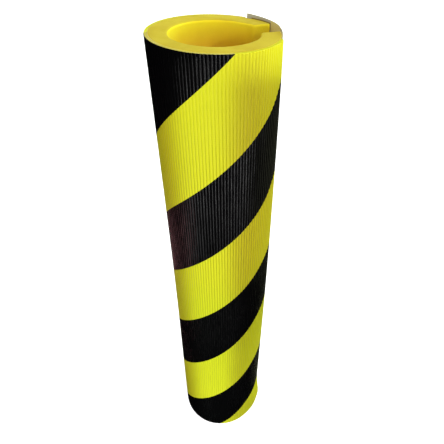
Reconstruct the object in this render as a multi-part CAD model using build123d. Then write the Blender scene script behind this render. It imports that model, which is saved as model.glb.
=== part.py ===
from build123d import *
import math
import os

# Foam impact protector for a post: a split foam tube in a ribbed cover, with a closing strip over the slit.
# Millimetres. Z is the tube's axis, the bottom end is at z = 0 and the slit opens towards +X.

# Foam tube
tube_length = 500.0
bore_diameter = 66.0
foam_thickness = 14.0
slit_width = 19.0
lip_rounding = 2.0

# Ribbed cover, bonded round the foam outside the strip's recess
film_thickness = 0.5
cover_base_thickness = 2.1
rib_height = 0.4
rib_pitch = 2.6

# Closing strip, bonded to one lip of the slit and folding there, just below the ribs
strip_width = 64.0
strip_thickness = 0.8
strip_bond_width = 19.5
strip_rise = 2.3
fold_gap = 0.3
recess_margin = 1.0

# Hook and loop tapes that hold the strip down on the other lip, short of the edge that fingers pull
hook_thickness = 0.7
loop_thickness = 0.6
closing_gap = 0.3
tape_margin = 0.5
pull_width = 4.5
tape_rise = 0.7

# Radii, from the bore outwards
bore_radius = bore_diameter / 2
foam_radius = bore_radius + foam_thickness
bond_radius = foam_radius + film_thickness
groove_radius = bond_radius + cover_base_thickness
crest_radius = groove_radius + rib_height

# Radii of the tapes and of the strip over them, from the foam outwards
loop_radius = foam_radius + loop_thickness
hook_radius = loop_radius + closing_gap
strip_bond_radius = hook_radius + hook_thickness
strip_radius = strip_bond_radius + strip_thickness


def angle_of(arc, radius):
    """Angle in degrees of an arc's length on a radius."""
    return math.degrees(arc / radius)


def lip_angle(radius):
    """Angle in degrees from the slit's middle to its wall on a radius."""
    return math.degrees(math.asin(slit_width / 2 / radius))


# Angles round the tube, in degrees from the slit's middle, growing from the bonded lip to the free lip
fold_angle = -lip_angle(foam_radius)
bond_edge = fold_angle - angle_of(strip_bond_width, strip_bond_radius)
free_edge = fold_angle + angle_of(strip_width - strip_bond_width, strip_bond_radius)
recess_start = bond_edge - angle_of(recess_margin, strip_bond_radius)
recess_end = free_edge + angle_of(recess_margin, strip_bond_radius)
fold_half_gap = angle_of(fold_gap / 2, strip_bond_radius)
tape_start = lip_angle(foam_radius) + angle_of(tape_margin, foam_radius)
tape_end = free_edge - angle_of(pull_width, strip_bond_radius)


def polar(radius, angle):
    """Point at a radius and an angle in degrees."""
    turn = math.radians(angle)
    return (radius * math.cos(turn), radius * math.sin(turn))


def ring_sector(inner, outer, start, end):
    """Flat ring sector between two radii and two angles."""
    middle = (start + end) / 2
    outline = [
        Line(polar(inner, start), polar(outer, start)),
        ThreePointArc(polar(outer, start), polar(outer, middle), polar(outer, end)),
        Line(polar(outer, end), polar(inner, end)),
        ThreePointArc(polar(inner, end), polar(inner, middle), polar(inner, start)),
    ]
    return make_face(outline)


def ribbed_disc():
    """Flat disc whose rim is a ring of round ribs that meet in sharp grooves."""
    count = round(2 * math.pi * crest_radius / rib_pitch)
    step = 360 / count
    ribs = []
    for index in range(count):
        start = index * step
        crest = polar(crest_radius, start + step / 2)
        ribs.append(ThreePointArc(polar(groove_radius, start), crest, polar(groove_radius, start + step)))
    return make_face(ribs)


def strip_recess():
    """Flat cut for the recess between the cover's two edges, where the strip lies."""
    return ring_sector(bore_radius, 2 * crest_radius, recess_start, recess_end)


def make_foam_core():
    """Foam tube with its slit, rounded where the lips meet the bore."""
    slit = Rectangle(2 * crest_radius, slit_width, align=(Align.MIN, Align.CENTER))
    wall = Circle(foam_radius) - Circle(bore_radius) - slit
    middle_radius = (bore_radius + foam_radius) / 2
    bore_corners = [corner for corner in wall.vertices() if math.hypot(corner.X, corner.Y) < middle_radius]
    return extrude(fillet(bore_corners, lip_rounding), tube_length)


def make_cover_film():
    """Adhesive film between the foam and the cover."""
    return extrude(Circle(bond_radius) - Circle(foam_radius) - strip_recess(), tube_length)


def make_ribbed_cover():
    """Ribbed sheet round the foam, from one side of the strip's recess to the other."""
    return extrude(ribbed_disc() - Circle(bond_radius) - strip_recess(), tube_length)


def make_strip_film():
    """Adhesive film under the strip's root, as thick as the closed tapes, up to the tube's top end."""
    root = ring_sector(foam_radius, strip_bond_radius, bond_edge, fold_angle - fold_half_gap)
    return Pos(0, 0, strip_rise) * extrude(root, tube_length - strip_rise)


def strip_layer(start, end):
    """Full length of the strip between two angles, a little proud of the tube's top end."""
    layer = ring_sector(strip_bond_radius, strip_radius, start, end)
    return Pos(0, 0, strip_rise) * extrude(layer, tube_length)


def make_strip_root():
    """Bonded root of the closing strip, up to the fold."""
    return strip_layer(bond_edge, fold_angle - fold_half_gap)


def make_closing_flap():
    """Free part of the closing strip, from the fold over the slit to its free edge."""
    return strip_layer(fold_angle + fold_half_gap, free_edge)


def tape_layer(inner, outer):
    """Full length of a tape between two radii."""
    return extrude(ring_sector(inner, outer, tape_start, tape_end), tube_length)


def make_hook_tape():
    """Hook tape inside the flap, which stands proud of the tube's top end with it, but less."""
    return Pos(0, 0, tape_rise) * tape_layer(hook_radius, strip_bond_radius)


def make_loop_tape():
    """Loop tape on the foam of the free lip."""
    return tape_layer(foam_radius, loop_radius)


pieces = {
    "foam_core": make_foam_core(),
    "cover_film": make_cover_film(),
    "ribbed_cover": make_ribbed_cover(),
    "strip_film": make_strip_film(),
    "strip_root": make_strip_root(),
    "closing_flap": make_closing_flap(),
    "hook_tape": make_hook_tape(),
    "loop_tape": make_loop_tape(),
}

os.makedirs("parts", exist_ok=True)
for name, piece in pieces.items():
    export_step(piece, f"parts/{name}.step")
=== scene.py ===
import math

import bmesh
import bpy
import numpy as np
from mathutils import Matrix, Vector, noise


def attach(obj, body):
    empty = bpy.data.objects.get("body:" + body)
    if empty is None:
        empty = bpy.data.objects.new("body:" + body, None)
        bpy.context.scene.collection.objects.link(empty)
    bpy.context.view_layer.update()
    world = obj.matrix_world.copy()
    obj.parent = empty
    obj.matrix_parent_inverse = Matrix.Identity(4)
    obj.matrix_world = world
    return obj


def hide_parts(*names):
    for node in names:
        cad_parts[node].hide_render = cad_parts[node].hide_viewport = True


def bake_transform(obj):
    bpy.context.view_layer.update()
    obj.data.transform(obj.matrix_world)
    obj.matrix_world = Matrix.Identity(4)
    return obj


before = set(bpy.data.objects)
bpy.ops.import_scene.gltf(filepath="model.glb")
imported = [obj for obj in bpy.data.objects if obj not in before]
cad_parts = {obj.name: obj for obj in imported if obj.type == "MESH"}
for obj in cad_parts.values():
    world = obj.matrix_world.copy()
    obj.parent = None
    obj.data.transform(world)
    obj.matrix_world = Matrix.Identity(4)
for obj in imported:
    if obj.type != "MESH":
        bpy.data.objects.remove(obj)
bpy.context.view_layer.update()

# Metres in a millimetre
MM = 0.001

# Driving dimensions of the part in millimetres, as its source has them
TUBE_LENGTH = 500.0
BORE_DIAMETER = 66.0
FOAM_THICKNESS = 14.0
SLIT_WIDTH = 19.0
LIP_ROUNDING = 2.0
FILM_THICKNESS = 0.5
COVER_BASE_THICKNESS = 2.1
RIB_HEIGHT = 0.4
RIB_PITCH = 2.6
STRIP_WIDTH = 64.0
STRIP_THICKNESS = 0.8
STRIP_BOND_WIDTH = 19.5
STRIP_RISE = 2.3
RECESS_MARGIN = 1.0
HOOK_THICKNESS = 0.7
LOOP_THICKNESS = 0.6
CLOSING_GAP = 0.3
TAPE_MARGIN = 0.5
PULL_WIDTH = 4.5
TAPE_RISE = 0.7

# Radii, from the bore outwards
BORE_RADIUS = BORE_DIAMETER / 2
FOAM_RADIUS = BORE_RADIUS + FOAM_THICKNESS
BOND_RADIUS = FOAM_RADIUS + FILM_THICKNESS
GROOVE_RADIUS = BOND_RADIUS + COVER_BASE_THICKNESS
CREST_RADIUS = GROOVE_RADIUS + RIB_HEIGHT

# Radii of the strip, which lies over the closed tapes
STRIP_BOND_RADIUS = FOAM_RADIUS + LOOP_THICKNESS + CLOSING_GAP + HOOK_THICKNESS
STRIP_RADIUS = STRIP_BOND_RADIUS + STRIP_THICKNESS


def arc_angle(length, radius):
    """Angle in degrees of an arc's length on a radius."""
    return math.degrees(length / radius)


def arc_length(angle, radius):
    """Length of an arc of an angle in degrees on a radius."""
    return math.radians(angle) * radius


# Ribs round a full turn, and degrees in a rib
RIB_COUNT = round(2 * math.pi * CREST_RADIUS / RIB_PITCH)
RIB_TURN = 360 / RIB_COUNT

# Angles round the tube in degrees from the slit's middle, growing from the bonded lip to the free lip
LIP_ANGLE = math.degrees(math.asin(SLIT_WIDTH / 2 / FOAM_RADIUS))
FOLD_ANGLE = -LIP_ANGLE
BOND_EDGE = FOLD_ANGLE - arc_angle(STRIP_BOND_WIDTH, STRIP_BOND_RADIUS)
FREE_EDGE = FOLD_ANGLE + arc_angle(STRIP_WIDTH - STRIP_BOND_WIDTH, STRIP_BOND_RADIUS)
RECESS_START = BOND_EDGE - arc_angle(RECESS_MARGIN, STRIP_BOND_RADIUS)
RECESS_END = FREE_EDGE + arc_angle(RECESS_MARGIN, STRIP_BOND_RADIUS)
TAPE_START = LIP_ANGLE + arc_angle(TAPE_MARGIN, FOAM_RADIUS)
TAPE_END = FREE_EDGE - arc_angle(PULL_WIDTH, STRIP_BOND_RADIUS)

# The cover runs round the back of the tube, from one side of the strip's recess to the other
COVER_START = RECESS_END - 360
COVER_END = RECESS_START

# Line along the tube that faces the camera, and the direction to the camera's right
FACING_ANGLE = -108.5
RIGHT_ANGLE = FACING_ANGLE + 90

# Edges of the diagonal bands, from the top down: depth below the top end on the facing line, and rise per
# radian to the right. Those beyond the tube's ends come into view round its sides.
BAND_EDGES = ((-230.0, 47.5), (-149.5, 47.5), (-69.0, 47.5), (12.0, 47.5), (90.0, 47.5), (168.0, 46.2),
              (247.0, 47.0), (328.0, 49.5), (414.0, 48.5), (497.5, 48.5), (581.0, 48.5))
FIRST_BAND_IS_BLACK = True
ROWS_PER_BAND = 8

# The upper bands are drawn up beside the strip's root, over these degrees from the facing line and heights
BAND_DRAW = 5.0
BAND_DRAW_TURNS = (48.0, 74.0)
BAND_DRAW_HEIGHTS = (320.0, 380.0)

# How the soft tube stands, in millimetres. A pair of angles or heights says where a move is none and all.

# The tube bows to the right, and its top end leans left, less and less down the tube
BOW = 1.15
TOP_LEAN = 0.6
LEAN_FADE = 60.0

# The bore is a little oval and the free lip is sprung out
BORE_OVAL = 1.0
LIP_SPRING = 1.3
LIP_SPRING_ANGLES = (49.0, 12.0)

# The strip's root is pressed in at the top end, less and less below it, and the rest lies a little high
ROOT_PRESS = 0.9
ROOT_PRESS_ANGLES = (-3.0, -12.0)
PRESS_FADE = 40.0
STRIP_LIFT = 0.75
STRIP_LIFT_ANGLES = (FOLD_ANGLE, FOLD_ANGLE + 24.0)

# The whole strip sits a little low, its root lower and its free edge higher
STRIP_SINK = 0.55
ROOT_SINK = 1.5
ROOT_SINK_ANGLES = (-14.0, -30.0)
FREE_EDGE_RISE = 1.2

# The cover's edge by the strip's root stands off, and is pressed in at the top end
EDGE_LIFT = 0.8
EDGE_LIFT_ANGLES = (COVER_END - 30.0, COVER_END)
CORNER_PRESS = 1.0

# That edge bulges above the bottom end, and is partly tucked in again at the bottom end itself
EDGE_BULGE = 3.4
EDGE_BULGE_ANGLES = (COVER_END - 40.0, COVER_END)
EDGE_BULGE_HEIGHTS = (65.0, 24.0)
EDGE_TUCK = 0.65
EDGE_TUCK_HEIGHTS = (20.0, 0.0)

# Make of the meshes in millimetres, where the part's source has no size for it

# The lips' edges are rounded this many times tighter, and the ends' edges are squarer near the lips
LIP_TIGHTNESS = 1.3
LIP_SQUARING = 0.6
LIP_SQUARING_REACH = (9.0, 2.0)

# Columns of points across a rib, closer at its grooves, and the least degrees from the last one to the edge
RIB_POINTS = np.array([0.0, 0.07, 0.2, 0.36, 0.5, 0.64, 0.8, 0.93])
EDGE_CLEARANCE = 0.05

# Bevel of the cover's ends, and heights of the rows of points inside it, closer where its edge bulges
COVER_BEVEL = 0.25
INSIDE_HEIGHTS = (TUBE_LENGTH, 70.0, 45.0, 32.0, 20.0, 10.0, 0.0)
SAME_HEIGHT = 1e-6

# Rounding of the strip's edges, its finer columns of points at the fold, and how far from the fold it bends
STRIP_ROUNDING = 0.3
FOLD_REACH = 4.0
FOLD_CLEARANCE = 0.1
FOLD_COLUMNS = 20

# Gap between bonded layers, so that their faces don't lie in one place
LAYER_GAP = 0.02

# Tapes: rounding and thickness of the woven grounds, and how much lower the hook tape sits in the flap
TAPE_ROUNDING = 0.1
HOOK_GROUND = 0.3
LOOP_GROUND = 0.25
HOOK_SINK = 0.15

# Tufts: bare margins of the ground at the lip, the free edge and both ends, the least that stays bare at
# the top end, and how far a tuft can be off its row
TUFT_LIP_MARGIN = 1.4
TUFT_FREE_MARGIN = 1.2
TUFT_END_MARGIN = 1.5
TUFT_LEAST_MARGIN = 1.0
TUFT_JITTER_ALONG = 0.2
TUFT_JITTER_ACROSS = 0.15

# Rise off the ground and lean along the tape, from a tuft's root to its tip
HOOK_PATH = ((-0.05, 0.0), (0.08, 0.0), (0.16, 0.1), (0.18, 0.3), (0.12, 0.4))
LOOP_PATH = ((-0.05, -0.3), (0.1, -0.35), (0.18, 0.0), (0.1, 0.35), (-0.05, 0.3))

# Adhesive films: rounding, distance from the tube's ends, and the strip's film short of its root's edges
FILM_ROUNDING = 0.1
FILM_INSET = 0.1
STRIP_FILM_INSET_ANGLE = 0.3
STRIP_FILM_RISE = 0.5

# Edges that bend by more degrees than this stay sharp, on ribs and tufts and on rounded pieces
SHARP_BEND = 40.0
ROUNDED_BEND = 60.0

# Shares of a rounding at which a slab has rows of points
ROUNDING_SHARES = np.array([0.0, 0.6])

# Shift of the noise from one seed to the next
SEED_SHIFT = (17.3, 5.1, 9.7)

# Axes of a flat slab: along its run, through its depth and up its height. A side is an axis and its low or
# high end.
RUN, DEPTH, HEIGHT = range(3)
LOW_END, HIGH_END = 0, -1

# Corners of a square of half side 1, in order round it
SQUARE_CORNERS = ((1, 1), (-1, 1), (-1, -1), (1, -1))

# Slots of the cover's materials
YELLOW_SLOT, BLACK_SLOT, EDGE_SLOT = range(3)

# Sockets of a mix node for colours
MIX_FACTOR, MIX_FIRST, MIX_SECOND, MIX_RESULT = 0, 6, 7, 2

# Scale of a wave texture times the width of one wave
WAVE_SCALE = 0.3142

# Floor and backdrop in metres, with the floor just under the part, and the light from all round
STAGE_SIZE = 8.0
FLOOR_HEIGHT = -0.0002
WORLD_STRENGTH = 0.004

# Lights in metres: how far off a soft light and a spot stand, and a spot's own radius. One spot stands
# farther off, and its cone is squeezed sideways to an upright band of light.
SOFT_LIGHT_AWAY = 2.0
SPOT_AWAY = 1.0
SPOT_RADIUS = 0.01
BAND_LIGHT_AWAY = 3.0
BAND_LIGHT_SQUEEZE = 0.0315

# Camera: sensor and lens in millimetres, sideways shift for a picture cropped off its middle, nearest and
# farthest view and place in metres, and in degrees its turn from +Y towards +X, its tilt down and its roll
SENSOR_WIDTH = 36.0
LENS = 33.36
LENS_SHIFT = -0.0702
VIEW_START, VIEW_END = 0.01, 50.0
CAMERA_PLACE = (-0.09925, -0.29652, 0.58378)
CAMERA_YAW, CAMERA_PITCH, CAMERA_ROLL = 24.67, 39.65, 3.02


# Meshes

def add_piece(name, points, faces, materials, face_slots=None, uv=None, sharp=SHARP_BEND):
    """Object of a closed mesh given in millimetres, with its faces turned outwards."""
    mesh = bpy.data.meshes.new(name)
    mesh.from_pydata((np.asarray(points) * MM).tolist(), [], [list(face) for face in faces])
    for material in materials:
        mesh.materials.append(material)
    if face_slots is not None:
        mesh.polygons.foreach_set("material_index", np.asarray(face_slots, np.int32))
    if uv is not None:
        layer = mesh.uv_layers.new(name="flat")
        corner = np.zeros(len(mesh.loops), np.int32)
        mesh.loops.foreach_get("vertex_index", corner)
        layer.data.foreach_set("uv", (np.asarray(uv)[corner] * MM).ravel().astype(np.float32))
    shape = bmesh.new()
    shape.from_mesh(mesh)
    bmesh.ops.recalc_face_normals(shape, faces=shape.faces)
    shape.to_mesh(mesh)
    shape.free()
    mesh.polygons.foreach_set("use_smooth", np.ones(len(mesh.polygons), bool))
    mesh.set_sharp_from_angle(angle=math.radians(sharp))
    piece = bpy.data.objects.new(name, mesh)
    bpy.context.scene.collection.objects.link(piece)
    return piece


def stations(low, high, rounding, spacing):
    """Places along one side of a slab: close together at its rounded ends and even between them."""
    count = max(1, round((high - low - 2 * rounding) / spacing))
    middle = np.linspace(low + rounding, high - rounding, count + 1)
    ends = ROUNDING_SHARES * rounding
    return np.concatenate([low + ends, middle, (high - ends)[::-1]])


def slab(runs, depths, heights, rounding, square_outside=False):
    """Points and faces of a flat slab's skin with rounded edges, and which side each face is on."""
    grid = np.stack(np.meshgrid(runs, depths, heights, indexing="ij"), -1)
    skin = np.zeros(grid.shape[:3], bool)
    skin[[0, -1]] = True
    skin[:, [0, -1]] = True
    skin[:, :, [0, -1]] = True
    number = np.full(skin.shape, -1)
    number[skin] = np.arange(skin.sum())
    points = grid[skin]
    low, high = points.min(0) + rounding, points.max(0) - rounding
    if square_outside:
        high[DEPTH] += rounding
    core = np.clip(points, low, high)
    out = points - core
    reach = np.linalg.norm(out, axis=1, keepdims=True)
    points = core + out * rounding / np.where(reach > 0, reach, 1)
    faces, sides = [], []
    for axis in (RUN, DEPTH, HEIGHT):
        for end in (LOW_END, HIGH_END):
            side = np.take(number, end, axis)
            quads = np.stack([side[:-1, :-1], side[1:, :-1], side[1:, 1:], side[:-1, 1:]], -1)
            faces.append(quads.reshape(-1, 4))
            sides += [(axis, end)] * len(faces[-1])
    return points, np.concatenate(faces), sides


def wrap(radius, turn, height):
    """Points on the tube from radii, angles in radians and heights."""
    return np.stack([radius * np.cos(turn), radius * np.sin(turn), height], -1)


def ease(value, start, end):
    """Smooth step from 0 at start to 1 at end."""
    share = np.clip((value - start) / (end - start), 0, 1)
    return share * share * (3 - 2 * share)


def waver(points, depth, size, seed):
    """Smooth noise at each point, up to a depth in or out, with features of about a size."""
    shift = Vector([seed * step for step in SEED_SHIFT])
    return depth * np.array([noise.noise(Vector(point) / size + shift) for point in points])


# Moves of the soft tube, with angles in degrees

def settle(points):
    """Points of the tube and its strip after the tube's slight bow and lean."""
    x, y, z = np.asarray(points, float).T
    below = TUBE_LENGTH - z
    bow = BOW * np.sin(math.pi * np.clip(below / TUBE_LENGTH, 0, 1)) ** 2
    bow = bow - TOP_LEAN * np.exp(-below / LEAN_FADE)
    turn = math.radians(RIGHT_ANGLE)
    return np.stack([x + bow * math.cos(turn), y + bow * math.sin(turn), z], -1)


def pressed(radius, angle, height):
    """Radii of the strip's root and of the film under it after the press at the top end."""
    fade = np.exp(np.minimum(height - TUBE_LENGTH, 0) / PRESS_FADE)
    press = ROOT_PRESS * ease(angle, *ROOT_PRESS_ANGLES) * fade
    return radius - press * (radius - FOAM_RADIUS) / (STRIP_RADIUS - FOAM_RADIUS)


def lifted(radius, angle):
    """Radii of the strip past the fold and of the tape inside it, which lie a little high."""
    return radius + STRIP_LIFT * ease(angle, *STRIP_LIFT_ANGLES)


def sprung(radius, angle):
    """Radii of the free lip and of what lies on it after it has sprung out a little."""
    return radius + LIP_SPRING * ease(angle, *LIP_SPRING_ANGLES)


def loosened(radius, angle, height, outside):
    """Radii of the cover after the moves of its edge by the root; outside is 1 on its ribs and 0 inside."""
    lift = EDGE_LIFT - CORNER_PRESS * np.exp((height - TUBE_LENGTH) / PRESS_FADE)
    bulge = ease(height, *EDGE_BULGE_HEIGHTS) * (1 - EDGE_TUCK * ease(height, *EDGE_TUCK_HEIGHTS))
    radius = radius + lift * ease(angle, *EDGE_LIFT_ANGLES) * outside
    return radius + EDGE_BULGE * bulge * ease(angle, *EDGE_BULGE_ANGLES)


# Materials

def srgb(red, green, blue):
    """Linear colour of 0 to 255 screen values."""
    def linear(value):
        value = value / 255
        return value / 12.92 if value <= 0.04045 else ((value + 0.055) / 1.055) ** 2.4
    return (linear(red), linear(green), linear(blue), 1.0)


class Nodes:
    """Short way to write a material's nodes."""

    def __init__(self, name):
        self.material = bpy.data.materials.new(name)
        self.material.use_nodes = True
        self.tree = self.material.node_tree
        self.shader = self.tree.nodes["Principled BSDF"]

    def put(self, node, socket, value):
        """Links a node's input to another node's output, or gives it a plain value."""
        if isinstance(value, bpy.types.NodeSocket):
            self.tree.links.new(value, node.inputs[socket])
        else:
            node.inputs[socket].default_value = value

    def add(self, kind, settings=None, **inputs):
        """New node with its settings, and its inputs by their names."""
        node = self.tree.nodes.new("ShaderNode" + kind)
        for key, value in (settings or {}).items():
            setattr(node, key, value)
        for key, value in inputs.items():
            self.put(node, key.replace("_", " "), value)
        return node

    def set(self, **inputs):
        """Inputs of the surface by their names."""
        for key, value in inputs.items():
            self.put(self.shader, key.replace("_", " "), value)

    def place(self, scale, flat=False):
        """Coordinates in the part's frame, or over the piece laid flat, times a scale per axis.

        The scale is about how many of a pattern's features lie in a metre along each axis.
        """
        if flat:
            source = self.add("UVMap", {"uv_map": "flat"}).outputs["UV"]
        else:
            source = self.add("TexCoord").outputs["Object"]
        return self.add("Mapping", Vector=source, Scale=scale).outputs["Vector"]

    def height(self):
        """Height above the part's bottom end in metres."""
        return self.add("SeparateXYZ", Vector=self.place((1, 1, 1))).outputs["Z"]

    def noise(self, scale, detail, flat=False):
        """Soft noise, mostly from 0.3 to 0.7."""
        return self.add("TexNoise", Vector=self.place(scale, flat), Scale=1.0, Detail=detail).outputs["Fac"]

    def cells(self, scale, flat=False, feature="F1"):
        """Distance from the middles of irregular cells."""
        return self.add("TexVoronoi", {"feature": feature}, Vector=self.place(scale, flat),
                        Scale=1.0).outputs["Distance"]

    def between(self, value, source, target=(0, 1)):
        """Value that goes from one end of the target to the other as the given one crosses the source."""
        node = self.add("MapRange", Value=value)
        for socket, number in zip(("From Min", "From Max", "To Min", "To Max"), (*source, *target)):
            node.inputs[socket].default_value = number
        return node.outputs["Result"]

    def mix(self, factor, first, second):
        """Mix of two colours, all of the second where the factor is 1."""
        node = self.add("Mix", {"data_type": "RGBA"})
        self.put(node, MIX_FACTOR, factor)
        self.put(node, MIX_FIRST, first)
        self.put(node, MIX_SECOND, second)
        return node.outputs[MIX_RESULT]

    def math(self, kind, first, second):
        """Sum or product of two values."""
        node = self.add("Math", {"operation": kind})
        self.put(node, 0, first)
        self.put(node, 1, second)
        return node.outputs[0]

    def bump(self, height, distance):
        """Fine relief of the surface, as deep as a distance in metres."""
        node = self.add("Bump", Height=height, Strength=1.0, Distance=distance)
        self.set(Normal=node.outputs["Normal"])


def cover_material(name, main, painted_groove_colour, crest, crest_from, roughness, specular, tint):
    """Satin ribbed sheet with soft mottling and fine lines along the ribs.

    The crests are lighter in patches: rubbed wear and painted highlight.
    The grooves carry painted shade, less near the bottom and none at the top end, where the light falls.
    """
    # Shares of a rib's height, and heights in metres over which the grooves' painted shade changes
    crest_shares = (crest_from, crest_from + 0.15)
    groove_shares = (0.0, 0.5)
    top_fade, low_fade = (0.4, 0.475), (0.1, 0.32)
    least_rub_and_highlight, least_painted_shade = 0.6, 0.4
    smoother, rougher = roughness - 0.06, roughness + 0.1
    nodes = Nodes(name)
    mottle = nodes.noise(scale=(22, 22, 9), detail=4)
    lines = nodes.noise(scale=(2600, 2600, 60), detail=2)
    rib = nodes.add("Attribute", {"attribute_name": "rib"}).outputs["Fac"]
    height = nodes.height()
    # Crests lighter in patches: rubbed wear and painted highlight
    rubbed = nodes.between(mottle, source=(0.3, 0.6), target=(least_rub_and_highlight, 1))
    rubbed = nodes.math("MULTIPLY", nodes.between(rib, crest_shares), rubbed)
    # Painted shade in the grooves, none at the top end where the light falls, less towards the bottom
    shade = nodes.between(rib, groove_shares, target=(1, 0))
    shade = nodes.math("MULTIPLY", shade, nodes.between(height, top_fade, target=(1, 0)))
    shade = nodes.math("MULTIPLY", shade, nodes.between(height, low_fade, target=(least_painted_shade, 1)))
    colour = nodes.mix(shade, nodes.mix(rubbed, main, crest), painted_groove_colour)
    nodes.set(Base_Color=colour, Specular_IOR_Level=specular, Specular_Tint=tint)
    uneven = nodes.math("ADD", mottle, lines)
    nodes.set(Roughness=nodes.between(uneven, source=(0.7, 1.3), target=(smoother, rougher)))
    nodes.bump(lines, distance=0.00004)
    return nodes.material


def foam_material(name, main, deep, cell_size, bump_depth, inner=None, bore_shade_deep=None):
    """Matt closed-cell foam: fine cells, painted shade in some open ones, and soft mottling.

    Where inner tints are given, they replace the others below the top end, as painted shade down the bore
    and lips.
    """
    pores_per_cell = 0.45
    # Heights in metres between the inner tints, which are painted shade, and those of the top end
    bore_shade_heights = (0.478, 0.498)
    nodes = Nodes(name)
    mottle = nodes.noise(scale=(40, 40, 40), detail=4)
    cells = nodes.cells(scale=[1 / cell_size] * 3)
    pore_shade = nodes.cells(scale=[pores_per_cell / cell_size] * 3)
    # Below the top end the skin takes the inner tints: painted shade down the bore and lips
    if inner:
        top = nodes.between(nodes.height(), bore_shade_heights)
        main, deep = nodes.mix(top, inner, main), nodes.mix(top, bore_shade_deep, deep)
    colour = nodes.mix(nodes.between(mottle, source=(0.35, 0.7)), main, deep)
    # Painted shade in the open cells
    colour = nodes.mix(nodes.between(pore_shade, source=(0.0, 0.22), target=(0.5, 0)), colour, deep)
    nodes.set(Base_Color=colour, Specular_IOR_Level=0.2)
    nodes.set(Subsurface_Weight=0.08, Subsurface_Radius=(1.0, 0.8, 0.1), Subsurface_Scale=0.002)
    nodes.set(Roughness=nodes.between(mottle, source=(0.3, 0.7), target=(0.82, 0.95)))
    nodes.bump(nodes.math("ADD", cells, mottle), distance=bump_depth)
    return nodes.material


def strip_material(name, main, pale):
    """Soft plastic sheet with a fine embossed grain and paler rubbed patches."""
    nodes = Nodes(name)
    mottle = nodes.noise(scale=(60, 25, 1), detail=5, flat=True)
    grain = nodes.cells(scale=(1400, 1400, 1), flat=True, feature="SMOOTH_F1")
    colour = nodes.mix(nodes.between(mottle, source=(0.4, 0.75)), main, pale)
    nodes.set(Base_Color=colour, Specular_IOR_Level=0.4)
    nodes.set(Roughness=nodes.between(mottle, source=(0.3, 0.7), target=(0.42, 0.58)))
    nodes.bump(grain, distance=0.00008)
    return nodes.material


def tape_material(name, main, deep, thread):
    """Woven nylon tape: crossing threads in its ground, and soft sheen."""
    nodes = Nodes(name)
    place = nodes.place((1, 1, 1), flat=True)
    threads = []
    for direction in ("Y", "X"):
        wave = nodes.add("TexWave", {"bands_direction": direction}, Vector=place, Scale=WAVE_SCALE / thread)
        threads.append(wave.outputs["Fac"])
    weave = nodes.math("MULTIPLY", *threads)
    mottle = nodes.noise(scale=(90, 90, 1), detail=4, flat=True)
    colour = nodes.mix(nodes.between(weave, source=(0.0, 0.5)), deep, main)
    colour = nodes.mix(nodes.between(mottle, source=(0.4, 0.8), target=(0, 0.5)), colour, deep)
    nodes.set(Base_Color=colour, Sheen_Weight=0.1, Sheen_Roughness=0.4, Specular_IOR_Level=0.3)
    nodes.set(Roughness=nodes.between(mottle, source=(0.3, 0.7), target=(0.6, 0.8)))
    nodes.bump(weave, distance=0.0001)
    return nodes.material


def film_material(name, main, deep):
    """Cured adhesive with small streaks."""
    nodes = Nodes(name)
    streaks = nodes.noise(scale=(300, 300, 20), detail=3)
    nodes.set(Base_Color=nodes.mix(nodes.between(streaks, source=(0.35, 0.7)), main, deep))
    nodes.set(Roughness=nodes.between(streaks, source=(0.3, 0.7), target=(0.3, 0.5)))
    nodes.bump(streaks, distance=0.00005)
    return nodes.material


def paper_material(name, main, pale):
    """Pale matt paper that glows evenly, so that it stays white, but lights nothing else."""
    nodes = Nodes(name)
    fibre = nodes.noise(scale=(30, 30, 30), detail=5)
    nodes.set(Base_Color=nodes.mix(fibre, main, pale), Specular_IOR_Level=0.1)
    nodes.set(Roughness=nodes.between(fibre, source=(0.3, 0.7), target=(0.85, 0.95)))
    nodes.set(Emission_Color=(1, 1, 1, 1), Emission_Strength=0.75)
    nodes.material.cycles.emission_sampling = "NONE"
    return nodes.material


# Groove colours are painted shade; crest colours are rubbed wear and painted highlight
yellow = cover_material("cover_yellow", main=srgb(212, 212, 38), painted_groove_colour=srgb(146, 138, 22),
                        crest=srgb(216, 216, 40), crest_from=0.6, roughness=0.34, specular=0.12,
                        tint=(1.0, 0.95, 0.6, 1))
black = cover_material("cover_black", main=srgb(4, 4, 5), painted_groove_colour=srgb(2, 2, 2),
                       crest=srgb(6, 6, 6), crest_from=0.8, roughness=0.22, specular=0.14,
                       tint=(1, 1, 1, 1))
foam_cut = foam_material("foam_cut", main=srgb(209, 191, 53), deep=srgb(193, 171, 41),
                         cell_size=0.0007, bump_depth=0.00012)
sheet_edge = foam_material("sheet_edge", main=srgb(205, 193, 90), deep=srgb(192, 178, 74),
                           cell_size=0.0007, bump_depth=0.00008)
# The skin's inner tints are painted shade down the bore and lips
foam_skin = foam_material("foam_skin", main=srgb(246, 232, 42), deep=srgb(240, 218, 42),
                          cell_size=0.0011, bump_depth=0.00005,
                          inner=srgb(248, 206, 60), bore_shade_deep=srgb(243, 200, 55))
strip_grey = strip_material("strip_grey", main=srgb(184, 184, 158), pale=srgb(196, 196, 172))
# Copy of the strip's grey, tinted yellow: painted bounce light from the foam on the face over the slit
strip_bounce_tint = strip_material("strip_bounce_tint", main=srgb(216, 208, 130), pale=srgb(224, 217, 142))
# Tape browns are darkened to carry painted shade of the gap under the strip; the edge colour is a woven
# edge and painted shade along the lip
hook_brown = tape_material("hook_brown", main=srgb(172, 152, 74), deep=srgb(148, 130, 60), thread=0.00045)
loop_brown = tape_material("loop_brown", main=srgb(162, 134, 50), deep=srgb(138, 112, 40), thread=0.0006)
selvedge_and_gap_shade = tape_material("selvedge_and_gap_shade", main=srgb(128, 100, 24), deep=srgb(108, 84, 18),
                              thread=0.0006)
film_clear = film_material("film_clear", main=srgb(222, 200, 90), deep=srgb(206, 180, 76))
paper = paper_material("floor_paper", main=(0.9, 0.9, 0.9, 1), pale=(0.93, 0.93, 0.93, 1))


# Foam tube

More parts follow.
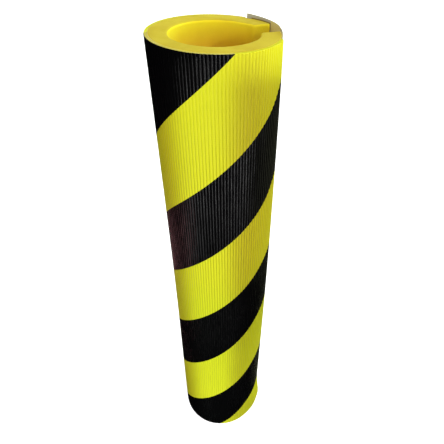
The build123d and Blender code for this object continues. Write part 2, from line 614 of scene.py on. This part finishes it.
def make_foam():
    """Foam tube with its slit, rounded edges and an uneven bore."""
    soft = LIP_ROUNDING
    around = 2 * math.pi * (BORE_RADIUS + FOAM_THICKNESS / 2) - SLIT_WIDTH
    runs = stations(0, around, soft / LIP_TIGHTNESS, spacing=1.6) * LIP_TIGHTNESS
    depths = stations(0, FOAM_THICKNESS, soft, spacing=1.5)
    heights = stations(0, TUBE_LENGTH, soft, spacing=7.0)
    points, faces, sides = slab(runs, depths, heights, soft, square_outside=True)
    run, depth, height = points.T
    run = run / LIP_TIGHTNESS
    radius = BORE_RADIUS + depth
    lips = np.arcsin(SLIT_WIDTH / 2 / radius)
    turn = -lips - run / around * (2 * math.pi - 2 * lips)
    plain = wrap(radius, turn, height)
    # The bore is uneven and oval, which fades out through the wall
    inside = np.clip(1 - depth / FOAM_THICKNESS, 0, 1)
    uneven = waver(plain, depth=0.35, size=60, seed=1) + waver(plain, depth=0.12, size=9, seed=2)
    oval = BORE_OVAL * np.sin(2 * (turn - math.radians(FACING_ANGLE)))
    radius = sprung(radius, np.degrees(turn) + 360) + inside * (uneven - oval)
    # The ends' edges are squarer near the lips
    from_lip = np.minimum(run, around - run)
    past = np.maximum(height - (TUBE_LENGTH - soft), 0) - np.maximum(soft - height, 0)
    squarer = LIP_SQUARING * ease(from_lip, *LIP_SQUARING_REACH)
    height = height + squarer * np.sign(past) * (soft - np.abs(past))
    # The ends are cut unevenly, which fades out over the outer third of the wall
    height = height + np.clip(inside * 3, 0, 1) * waver(plain, depth=0.12, size=4, seed=3)
    is_skin = [int(axis != HEIGHT) for axis, end in sides]
    points = settle(wrap(radius, turn, height))
    piece = add_piece("foam_tube", points, faces, [foam_cut, foam_skin], is_skin, sharp=ROUNDED_BEND)
    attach(piece, "tube")
    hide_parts("foam_core")


# Ribbed cover, its faces cut along the edges of the bands

def rib_profile(angles):
    """Radius of the ribbed surface at angles in degrees, and its share of the rib's height."""
    chord = GROOVE_RADIUS * math.radians(RIB_TURN) / 2
    rise = CREST_RADIUS - GROOVE_RADIUS * math.cos(math.radians(RIB_TURN / 2))
    round_radius = (chord ** 2 + rise ** 2) / (2 * rise)
    across = (np.mod(angles, RIB_TURN) / RIB_TURN * 2 - 1) * chord
    lift = np.sqrt(round_radius ** 2 - across ** 2) - (round_radius - rise)
    return CREST_RADIUS - rise + lift, lift / rise


def cover_angles():
    """Angles in degrees of the cover's columns of points, from one of its edges to the other."""
    angles = (np.arange(-RIB_COUNT, 1)[:, None] + RIB_POINTS).ravel() * RIB_TURN
    angles = angles[(angles > COVER_START + EDGE_CLEARANCE) & (angles < COVER_END - EDGE_CLEARANCE)]
    return np.concatenate([[COVER_START], angles, [COVER_END]])


def band_rows():
    """Depth and rise of the rows of points along the bands, and the slot of the faces between two rows."""
    rows, row_slots = [], []
    for band, (upper, lower) in enumerate(zip(BAND_EDGES[:-1], BAND_EDGES[1:])):
        is_black = (band % 2 == 0) == FIRST_BAND_IS_BLACK
        rows += list(np.linspace(upper, lower, ROWS_PER_BAND + 1)[:-1])
        row_slots += [BLACK_SLOT if is_black else YELLOW_SLOT] * ROWS_PER_BAND
    return np.array(rows + [BAND_EDGES[-1]]), row_slots


def row_heights(rows, angle):
    """Heights of the rows at an angle in degrees, kept between the bevels of the cover's ends."""
    turned = angle - FACING_ANGLE
    heights = TUBE_LENGTH - rows[:, 0] + rows[:, 1] * math.radians(turned)
    heights = heights + BAND_DRAW * ease(turned, *BAND_DRAW_TURNS) * ease(heights, *BAND_DRAW_HEIGHTS)
    return np.clip(heights, COVER_BEVEL, TUBE_LENGTH - COVER_BEVEL)


def end_slot(band_slot):
    """Slot of the cover's cut end beside a band: a black band is black only outside."""
    return EDGE_SLOT if band_slot == BLACK_SLOT else YELLOW_SLOT


def cover_faces(columns, ends, row_slots):
    """Faces between the cover's columns of points and at its two edges, and their slots."""
    faces, slots = [], []
    for left, right, left_end, right_end in zip(columns[:-1], columns[1:], ends[:-1], ends[1:]):
        for row, slot in enumerate(row_slots):
            corners = list(dict.fromkeys([left[row], right[row], right[row + 1], left[row + 1]]))
            if len(corners) > 2:
                faces.append(corners)
                slots.append(slot)
        seen = [slot for row, slot in enumerate(row_slots) if left[row + 1] != left[row]]
        faces.append([left[0], right[0], right_end[0], left_end[0]])
        faces.append([left_end[-1], right_end[-1], right[-1], left[-1]])
        slots += [seen[0], seen[-1]]
        for upper in range(len(left_end) - 1):
            lower = upper + 1
            faces.append([left_end[upper], right_end[upper], right_end[lower], left_end[lower]])
        inside = [EDGE_SLOT] * (len(INSIDE_HEIGHTS) - 1)
        slots += [end_slot(seen[0]), *inside, end_slot(seen[-1])]
    for column, end in ((columns[0], ends[0]), (columns[-1], ends[-1])):
        faces.append(list(dict.fromkeys(column)) + end[::-1])
        slots.append(EDGE_SLOT)
    return faces, slots


def make_cover():
    """Ribbed sheet: columns of points down its ribs, over its bevelled ends and up its inside."""
    angles = cover_angles()
    rows, row_slots = band_rows()
    points = []

    def add_point(angle, radius, height, rib, outside=1):
        points.append((angle, radius, height, rib, outside))
        return len(points) - 1

    columns, ends = [], []
    for angle, radius, rib in zip(angles, *rib_profile(angles)):
        heights = row_heights(rows, angle)
        column = [add_point(angle, radius, heights[0], rib)]
        for upper, lower in zip(heights[:-1], heights[1:]):
            is_same = abs(lower - upper) < SAME_HEIGHT
            column.append(column[-1] if is_same else add_point(angle, radius, lower, rib))
        columns.append(column)
        inside = [add_point(angle, BOND_RADIUS, height, rib=1, outside=0) for height in INSIDE_HEIGHTS]
        top = add_point(angle, radius - COVER_BEVEL, TUBE_LENGTH, rib)
        bottom = add_point(angle, radius - COVER_BEVEL, 0, rib)
        ends.append([top, *inside, bottom])
    faces, slots = cover_faces(columns, ends, row_slots)
    angle, radius, height, rib, outside = np.array(points).T
    turn = np.radians(angle)
    uv = np.stack([CREST_RADIUS * turn, height], -1)
    points = settle(wrap(loosened(radius, angle, height, outside), turn, height))
    piece = add_piece("ribbed_sheet", points, faces, [yellow, black, sheet_edge], slots, uv)
    layer = piece.data.attributes.new("rib", "FLOAT", "POINT")
    layer.data.foreach_set("value", rib.astype(np.float32))
    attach(piece, "tube")
    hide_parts("ribbed_cover")


# Closing strip

def make_strip():
    """Closing strip: one flexible piece, with finer columns of points at its fold."""
    lines = (BOND_EDGE, FOLD_ANGLE, FREE_EDGE)
    start, fold, end = [arc_length(angle, STRIP_BOND_RADIUS) for angle in lines]
    runs = stations(start, end, STRIP_ROUNDING, spacing=1.5)
    at_fold = np.linspace(FOLD_CLEARANCE - FOLD_REACH, FOLD_REACH - FOLD_CLEARANCE, FOLD_COLUMNS)
    runs = np.sort(np.concatenate([runs[np.abs(runs - fold) >= FOLD_REACH], fold + at_fold]))
    depths = stations(STRIP_BOND_RADIUS, STRIP_RADIUS, STRIP_ROUNDING, spacing=0.4)
    heights = stations(STRIP_RISE, STRIP_RISE + TUBE_LENGTH, STRIP_ROUNDING, spacing=10)
    points, faces, sides = slab(runs, depths, heights, STRIP_ROUNDING)
    uv = points[:, [RUN, HEIGHT]]
    run, radius, height = points.T
    flat = np.stack([run, 0 * run, height], -1)
    turn = run / STRIP_BOND_RADIUS
    angle = np.degrees(turn)
    share = (run - start) / (end - start)
    uneven = share * waver(flat, depth=0.25, size=45, seed=5)
    radius = lifted(pressed(radius, angle, height), angle) + uneven
    height = height + FREE_EDGE_RISE * share ** 2 - STRIP_SINK - ROOT_SINK * ease(angle, *ROOT_SINK_ANGLES)
    # The inner face over the slit takes the tinted copy: painted bounce light from the yellow foam
    middle = angle[faces].mean(1)
    over_slit = (middle > FOLD_ANGLE) & (middle < TAPE_START)
    has_bounce_tint = [int(side == (DEPTH, LOW_END) and over) for side, over in zip(sides, over_slit)]
    points = settle(wrap(radius, turn, height))
    piece = add_piece("closing_strip", points, faces, [strip_grey, strip_bounce_tint], has_bounce_tint, uv,
                      sharp=ROUNDED_BEND)
    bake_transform(piece)
    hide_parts("strip_root", "closing_flap")


# Hook and loop tapes

def tufts(bases, off, along, path, thickness):
    """Points and faces of many small bent bristles that follow a path of rise and lean.

    Each has a base point, a direction off the tape and a direction along it.
    """
    half = thickness / 2
    ring = len(SQUARE_CORNERS)
    across = np.cross(off, along)
    steps = np.diff(path, axis=0)
    steps = np.concatenate([steps, steps[-1:]])
    steps = steps / np.linalg.norm(steps, axis=1, keepdims=True)
    points = []
    for (rise, lean), (step_rise, step_lean) in zip(path, steps):
        centre = bases + off * rise + along * lean
        side = along * step_rise - off * step_lean
        corners = [centre + half * (x * across + y * side) for x, y in SQUARE_CORNERS]
        points.append(np.stack(corners, 1))
    points = np.stack(points, 1).reshape(-1, 3)
    each = np.arange(len(bases))[:, None] * len(path) * ring
    faces = []
    for place in range(len(path) - 1):
        for corner in range(ring):
            first, second = place * ring + corner, place * ring + (corner + 1) % ring
            faces.append(each + np.array([[first, second, second + ring, first + ring]]))
    root, tip = np.arange(ring)[::-1], (len(path) - 1) * ring + np.arange(ring)
    faces += [each + root, each + tip]
    return points, np.concatenate(faces)


def make_tape(name, inner, outer, sign, low, move, path, spacing, thickness, material, seed):
    """Woven ground between two radii, with rows of tufts that stand off it, outwards where the sign is 1.

    The move shifts its radii with what it lies on. The tufts' spacing is across and along the tape.
    """
    draw = np.random.default_rng(seed)
    gap_across, gap_along = spacing
    middle = (inner + outer) / 2
    high = low + TUBE_LENGTH
    start, end = arc_length(TAPE_START, middle), arc_length(TAPE_END, middle)
    ground_runs = stations(start, end, TAPE_ROUNDING, spacing=1.2)
    ground_depths = stations(inner, outer, TAPE_ROUNDING, spacing=0.3)
    ground_heights = stations(low, high, TAPE_ROUNDING, spacing=10)
    ground, faces, sides = slab(ground_runs, ground_depths, ground_heights, TAPE_ROUNDING)
    ground_uv = ground[:, [RUN, HEIGHT]]
    run, radius, height = ground.T
    ground = wrap(move(radius, np.degrees(run / middle)), run / middle, height)
    runs = np.arange(start + TUFT_LIP_MARGIN, end - TUFT_FREE_MARGIN, gap_across)
    heights = np.arange(low + TUFT_END_MARGIN, high - TUFT_END_MARGIN, gap_along)
    run, height = [grid.ravel() for grid in np.meshgrid(runs, heights, indexing="ij")]
    is_odd = np.repeat(np.arange(len(runs)) % 2, len(heights))
    jitter = draw.uniform(-TUFT_JITTER_ALONG, TUFT_JITTER_ALONG, len(run))
    height = height + is_odd * gap_along / 2 + jitter
    run = run + draw.uniform(-TUFT_JITTER_ACROSS, TUFT_JITTER_ACROSS, len(run))
    keep = height < high - TUFT_LEAST_MARGIN
    run, height = run[keep], height[keep]
    turn = run / middle
    off = wrap(sign, turn, 0 * turn)
    up_or_down = np.where(draw.uniform(size=len(run)) < 0.5, -1, 1)
    along = np.stack([0 * turn, 0 * turn, up_or_down], -1)
    surface = np.full(len(run), outer if sign > 0 else inner)
    bases = wrap(move(surface, np.degrees(turn)), turn, height)
    pile, pile_faces = tufts(bases, off, along, path, thickness)
    pile_uv = np.repeat(np.stack([run, height], -1), len(path) * 4, 0)
    points = settle(np.concatenate([ground, pile]))
    uv = np.concatenate([ground_uv, pile_uv])
    # The ground's edge by the lip takes the darker edge colour: woven edge and painted shade of the gap
    # there
    slots = [int(side == (RUN, LOW_END)) for side in sides] + [0] * len(pile_faces)
    faces = np.concatenate([faces, pile_faces + len(ground)])
    return add_piece(name, points, faces, [material, selvedge_and_gap_shade], slots, uv)


def make_tapes():
    """Hook tape inside the flap, and loop tape on the free lip."""
    hook = make_tape("hook_band",
                     inner=STRIP_BOND_RADIUS - HOOK_GROUND, outer=STRIP_BOND_RADIUS - LAYER_GAP,
                     sign=-1, low=TAPE_RISE - HOOK_SINK, move=lifted, path=HOOK_PATH, spacing=(1.6, 1.8),
                     thickness=0.16, material=hook_brown, seed=11)
    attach(hook, "flap")
    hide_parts("hook_tape")
    loop = make_tape("loop_band",
                     inner=FOAM_RADIUS + LAYER_GAP, outer=FOAM_RADIUS + LOOP_GROUND,
                     sign=1, low=0.0, move=sprung, path=LOOP_PATH, spacing=(1.3, 1.5),
                     thickness=0.12, material=loop_brown, seed=12)
    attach(loop, "tube")
    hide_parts("loop_tape")


# Adhesive films

def make_film(name, node, first, last, low, outer, is_pressed):
    """Film on the foam between two angles, from a height up to the tube's top end."""
    start, end = arc_length(first, outer), arc_length(last, outer)
    runs = stations(start, end, FILM_ROUNDING, spacing=4)
    depths = stations(FOAM_RADIUS + LAYER_GAP, outer - LAYER_GAP, FILM_ROUNDING, spacing=0.1)
    heights = stations(low, TUBE_LENGTH - FILM_INSET, FILM_ROUNDING, spacing=10)
    points, faces = slab(runs, depths, heights, FILM_ROUNDING)[:2]
    run, radius, height = points.T
    turn = run / outer
    if is_pressed:
        radius = pressed(radius, np.degrees(turn), height)
    piece = add_piece(name, settle(wrap(radius, turn, height)), faces, [film_clear], sharp=ROUNDED_BEND)
    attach(piece, "tube")
    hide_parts(node)


def make_films():
    """Film under the cover, and film under the strip's root, which is pressed in with it."""
    make_film("cover_bond", "cover_film", COVER_START, COVER_END, FILM_INSET, BOND_RADIUS, is_pressed=False)
    first, last = BOND_EDGE + STRIP_FILM_INSET_ANGLE, FOLD_ANGLE - STRIP_FILM_INSET_ANGLE
    low = STRIP_RISE + STRIP_FILM_RISE
    make_film("strip_bond", "strip_film", first, last, low, STRIP_BOND_RADIUS, is_pressed=True)


# Floor and backdrop

def make_stage():
    """Sheets of paper round the part, which the camera sees but which throw no light or shadow on it."""
    square = [(x * STAGE_SIZE, y * STAGE_SIZE) for x, y in SQUARE_CORNERS]
    corners = [(x, y, z) for z in (FLOOR_HEIGHT, STAGE_SIZE) for x, y in square]
    walls = [(0, 1, 5, 4), (1, 2, 6, 5), (2, 3, 7, 6), (3, 0, 4, 7), (4, 5, 6, 7)]
    for name, faces in (("floor", [(0, 1, 2, 3)]), ("backdrop", walls)):
        mesh = bpy.data.meshes.new(name)
        mesh.from_pydata(corners, [], faces)
        mesh.materials.append(paper)
        sheet = bpy.data.objects.new(name, mesh)
        bpy.context.scene.collection.objects.link(sheet)
        sheet.visible_diffuse = False
        sheet.visible_glossy = False
        sheet.visible_shadow = False
    world = bpy.data.worlds.new("studio")
    world.use_nodes = True
    background = world.node_tree.nodes["Background"]
    background.inputs["Color"].default_value = (1, 1, 1, 1)
    background.inputs["Strength"].default_value = WORLD_STRENGTH
    bpy.context.scene.world = world


# Lights

def aim_light(name, data, turn, rise, away, target=0.0):
    """Light at a distance from a target height on the tube's axis, turned to it.

    The turn is in degrees right of the facing line, and the rise in degrees above the target. Most lights
    with a rise below 0 stand for light that a floor throws back.
    """
    light = bpy.data.objects.new(name, data)
    bpy.context.scene.collection.objects.link(light)
    angle, up = math.radians(FACING_ANGLE + turn), math.radians(rise)
    out = Vector((math.cos(angle) * math.cos(up), math.sin(angle) * math.cos(up), math.sin(up)))
    light.location = out * away + Vector((0, 0, target))
    light.rotation_mode = "QUATERNION"
    light.rotation_quaternion = (-out).to_track_quat("-Z", "Y")
    return light


def soft_light(name, turn, rise, width, strength, colour=(1, 1, 1)):
    """Soft distant light, as wide as an angle."""
    data = bpy.data.lights.new(name, "SUN")
    data.energy, data.color = strength, colour
    data.angle = math.radians(width)
    return aim_light(name, data, turn, rise, SOFT_LIGHT_AWAY)


def spot_light(name, turn, rise, height, cone, blend, strength, colour=(1, 1, 1), away=SPOT_AWAY):
    """Spot on a height of the tube, whose rim is softer with a larger blend."""
    data = bpy.data.lights.new(name, "SPOT")
    data.energy, data.color = strength, colour
    data.spot_size, data.spot_blend = math.radians(cone), blend
    data.shadow_soft_size = SPOT_RADIUS
    return aim_light(name, data, turn, rise, away, height * MM)


def make_shading_lights():
    """Lights that shade the surfaces but show no gloss."""
    band = spot_light("front_strip", turn=-14, rise=0, height=230, cone=37, blend=0.85, strength=190,
                      colour=(0.74, 1, 0.65), away=BAND_LIGHT_AWAY)
    band.scale = (BAND_LIGHT_SQUEEZE, 1, 1)
    lights = [
        band,
        spot_light("bounce_high", turn=18, rise=-25, height=458, cone=26, blend=1.0, strength=10.5,
                   colour=(1, 0.62, 1.0)),
        spot_light("bounce_low", turn=14, rise=-25, height=50, cone=32, blend=1.0, strength=12,
                   colour=(0.95, 1, 1.25)),
        # The lower rim of this cone is level, below the tube's top end
        spot_light("top_right", turn=72, rise=-8.6, height=625, cone=17.2, blend=0.1, strength=21,
                   colour=(0.93, 1, 1)),
        spot_light("bore", turn=40, rise=17, height=530, cone=6.5, blend=0.7, strength=10),
        soft_light("front", turn=0, rise=10, width=30, strength=0.7, colour=(1, 0.95, 0.9)),
        soft_light("left", turn=-60, rise=8, width=30, strength=0.9, colour=(1, 0.88, 1.1)),
        soft_light("back", turn=180, rise=-10, width=40, strength=1.1),
    ]
    for light in lights:
        light.visible_glossy = False


def make_gloss_lights():
    """Lights that show only as gloss, in thin lines on the ribs."""
    rose, lime = (1, 0.45, 0.48), (0.95, 1, 0.6)
    lights = []
    for turn, rise, strength in ((34, -17, 0.42), (6, -25, 0.4), (0, -33, 0.36), (-16, -40, 0.18)):
        lights.append(soft_light("front_gloss", turn, rise, width=10, strength=strength))
    lights.append(soft_light("left_gloss", turn=-110, rise=-42, width=10, strength=0.11, colour=rose))
    for turn, rise, width, strength in ((115, -28, 40, 0.12), (148, -58, 20, 0.05)):
        lights.append(soft_light("right_gloss", turn, rise, width, strength, colour=lime))
    for light in lights:
        light.visible_diffuse = False


def make_lights():
    """Lights that shade, lights that gloss, and lights that do both."""
    make_shading_lights()
    make_gloss_lights()
    soft_light("right", turn=90, rise=15, width=30, strength=0.72, colour=(0.94, 1, 0.9))
    soft_light("top", turn=40, rise=78, width=40, strength=2.25)
    soft_light("back_right", turn=125, rise=18, width=30, strength=1.45, colour=(0.92, 1.15, 0.85))
    soft_light("back_left", turn=-150, rise=30, width=40, strength=0.75)


# Camera

def make_camera():
    """Camera that sees the part as the photograph does."""
    data = bpy.data.cameras.new("camera")
    data.sensor_width = SENSOR_WIDTH
    data.lens = LENS
    data.shift_x = LENS_SHIFT
    data.clip_start, data.clip_end = VIEW_START, VIEW_END
    camera = bpy.data.objects.new("camera", data)
    bpy.context.scene.collection.objects.link(camera)
    yaw, pitch, roll = [math.radians(angle) for angle in (CAMERA_YAW, CAMERA_PITCH, CAMERA_ROLL)]
    ahead = Vector((math.sin(yaw) * math.cos(pitch), math.cos(yaw) * math.cos(pitch), -math.sin(pitch)))
    right = Vector((math.cos(yaw), -math.sin(yaw), 0))
    up = right.cross(ahead)
    turned_right = math.cos(roll) * right + math.sin(roll) * up
    turned_up = -math.sin(roll) * right + math.cos(roll) * up
    axes = Matrix((turned_right, turned_up, -ahead)).transposed().to_4x4()
    camera.matrix_world = Matrix.Translation(CAMERA_PLACE) @ axes
    bpy.context.scene.camera = camera
    bpy.context.scene.view_settings.view_transform = "Standard"


make_foam()
make_cover()
make_strip()
make_tapes()
make_films()
make_stage()
make_lights()
make_camera()
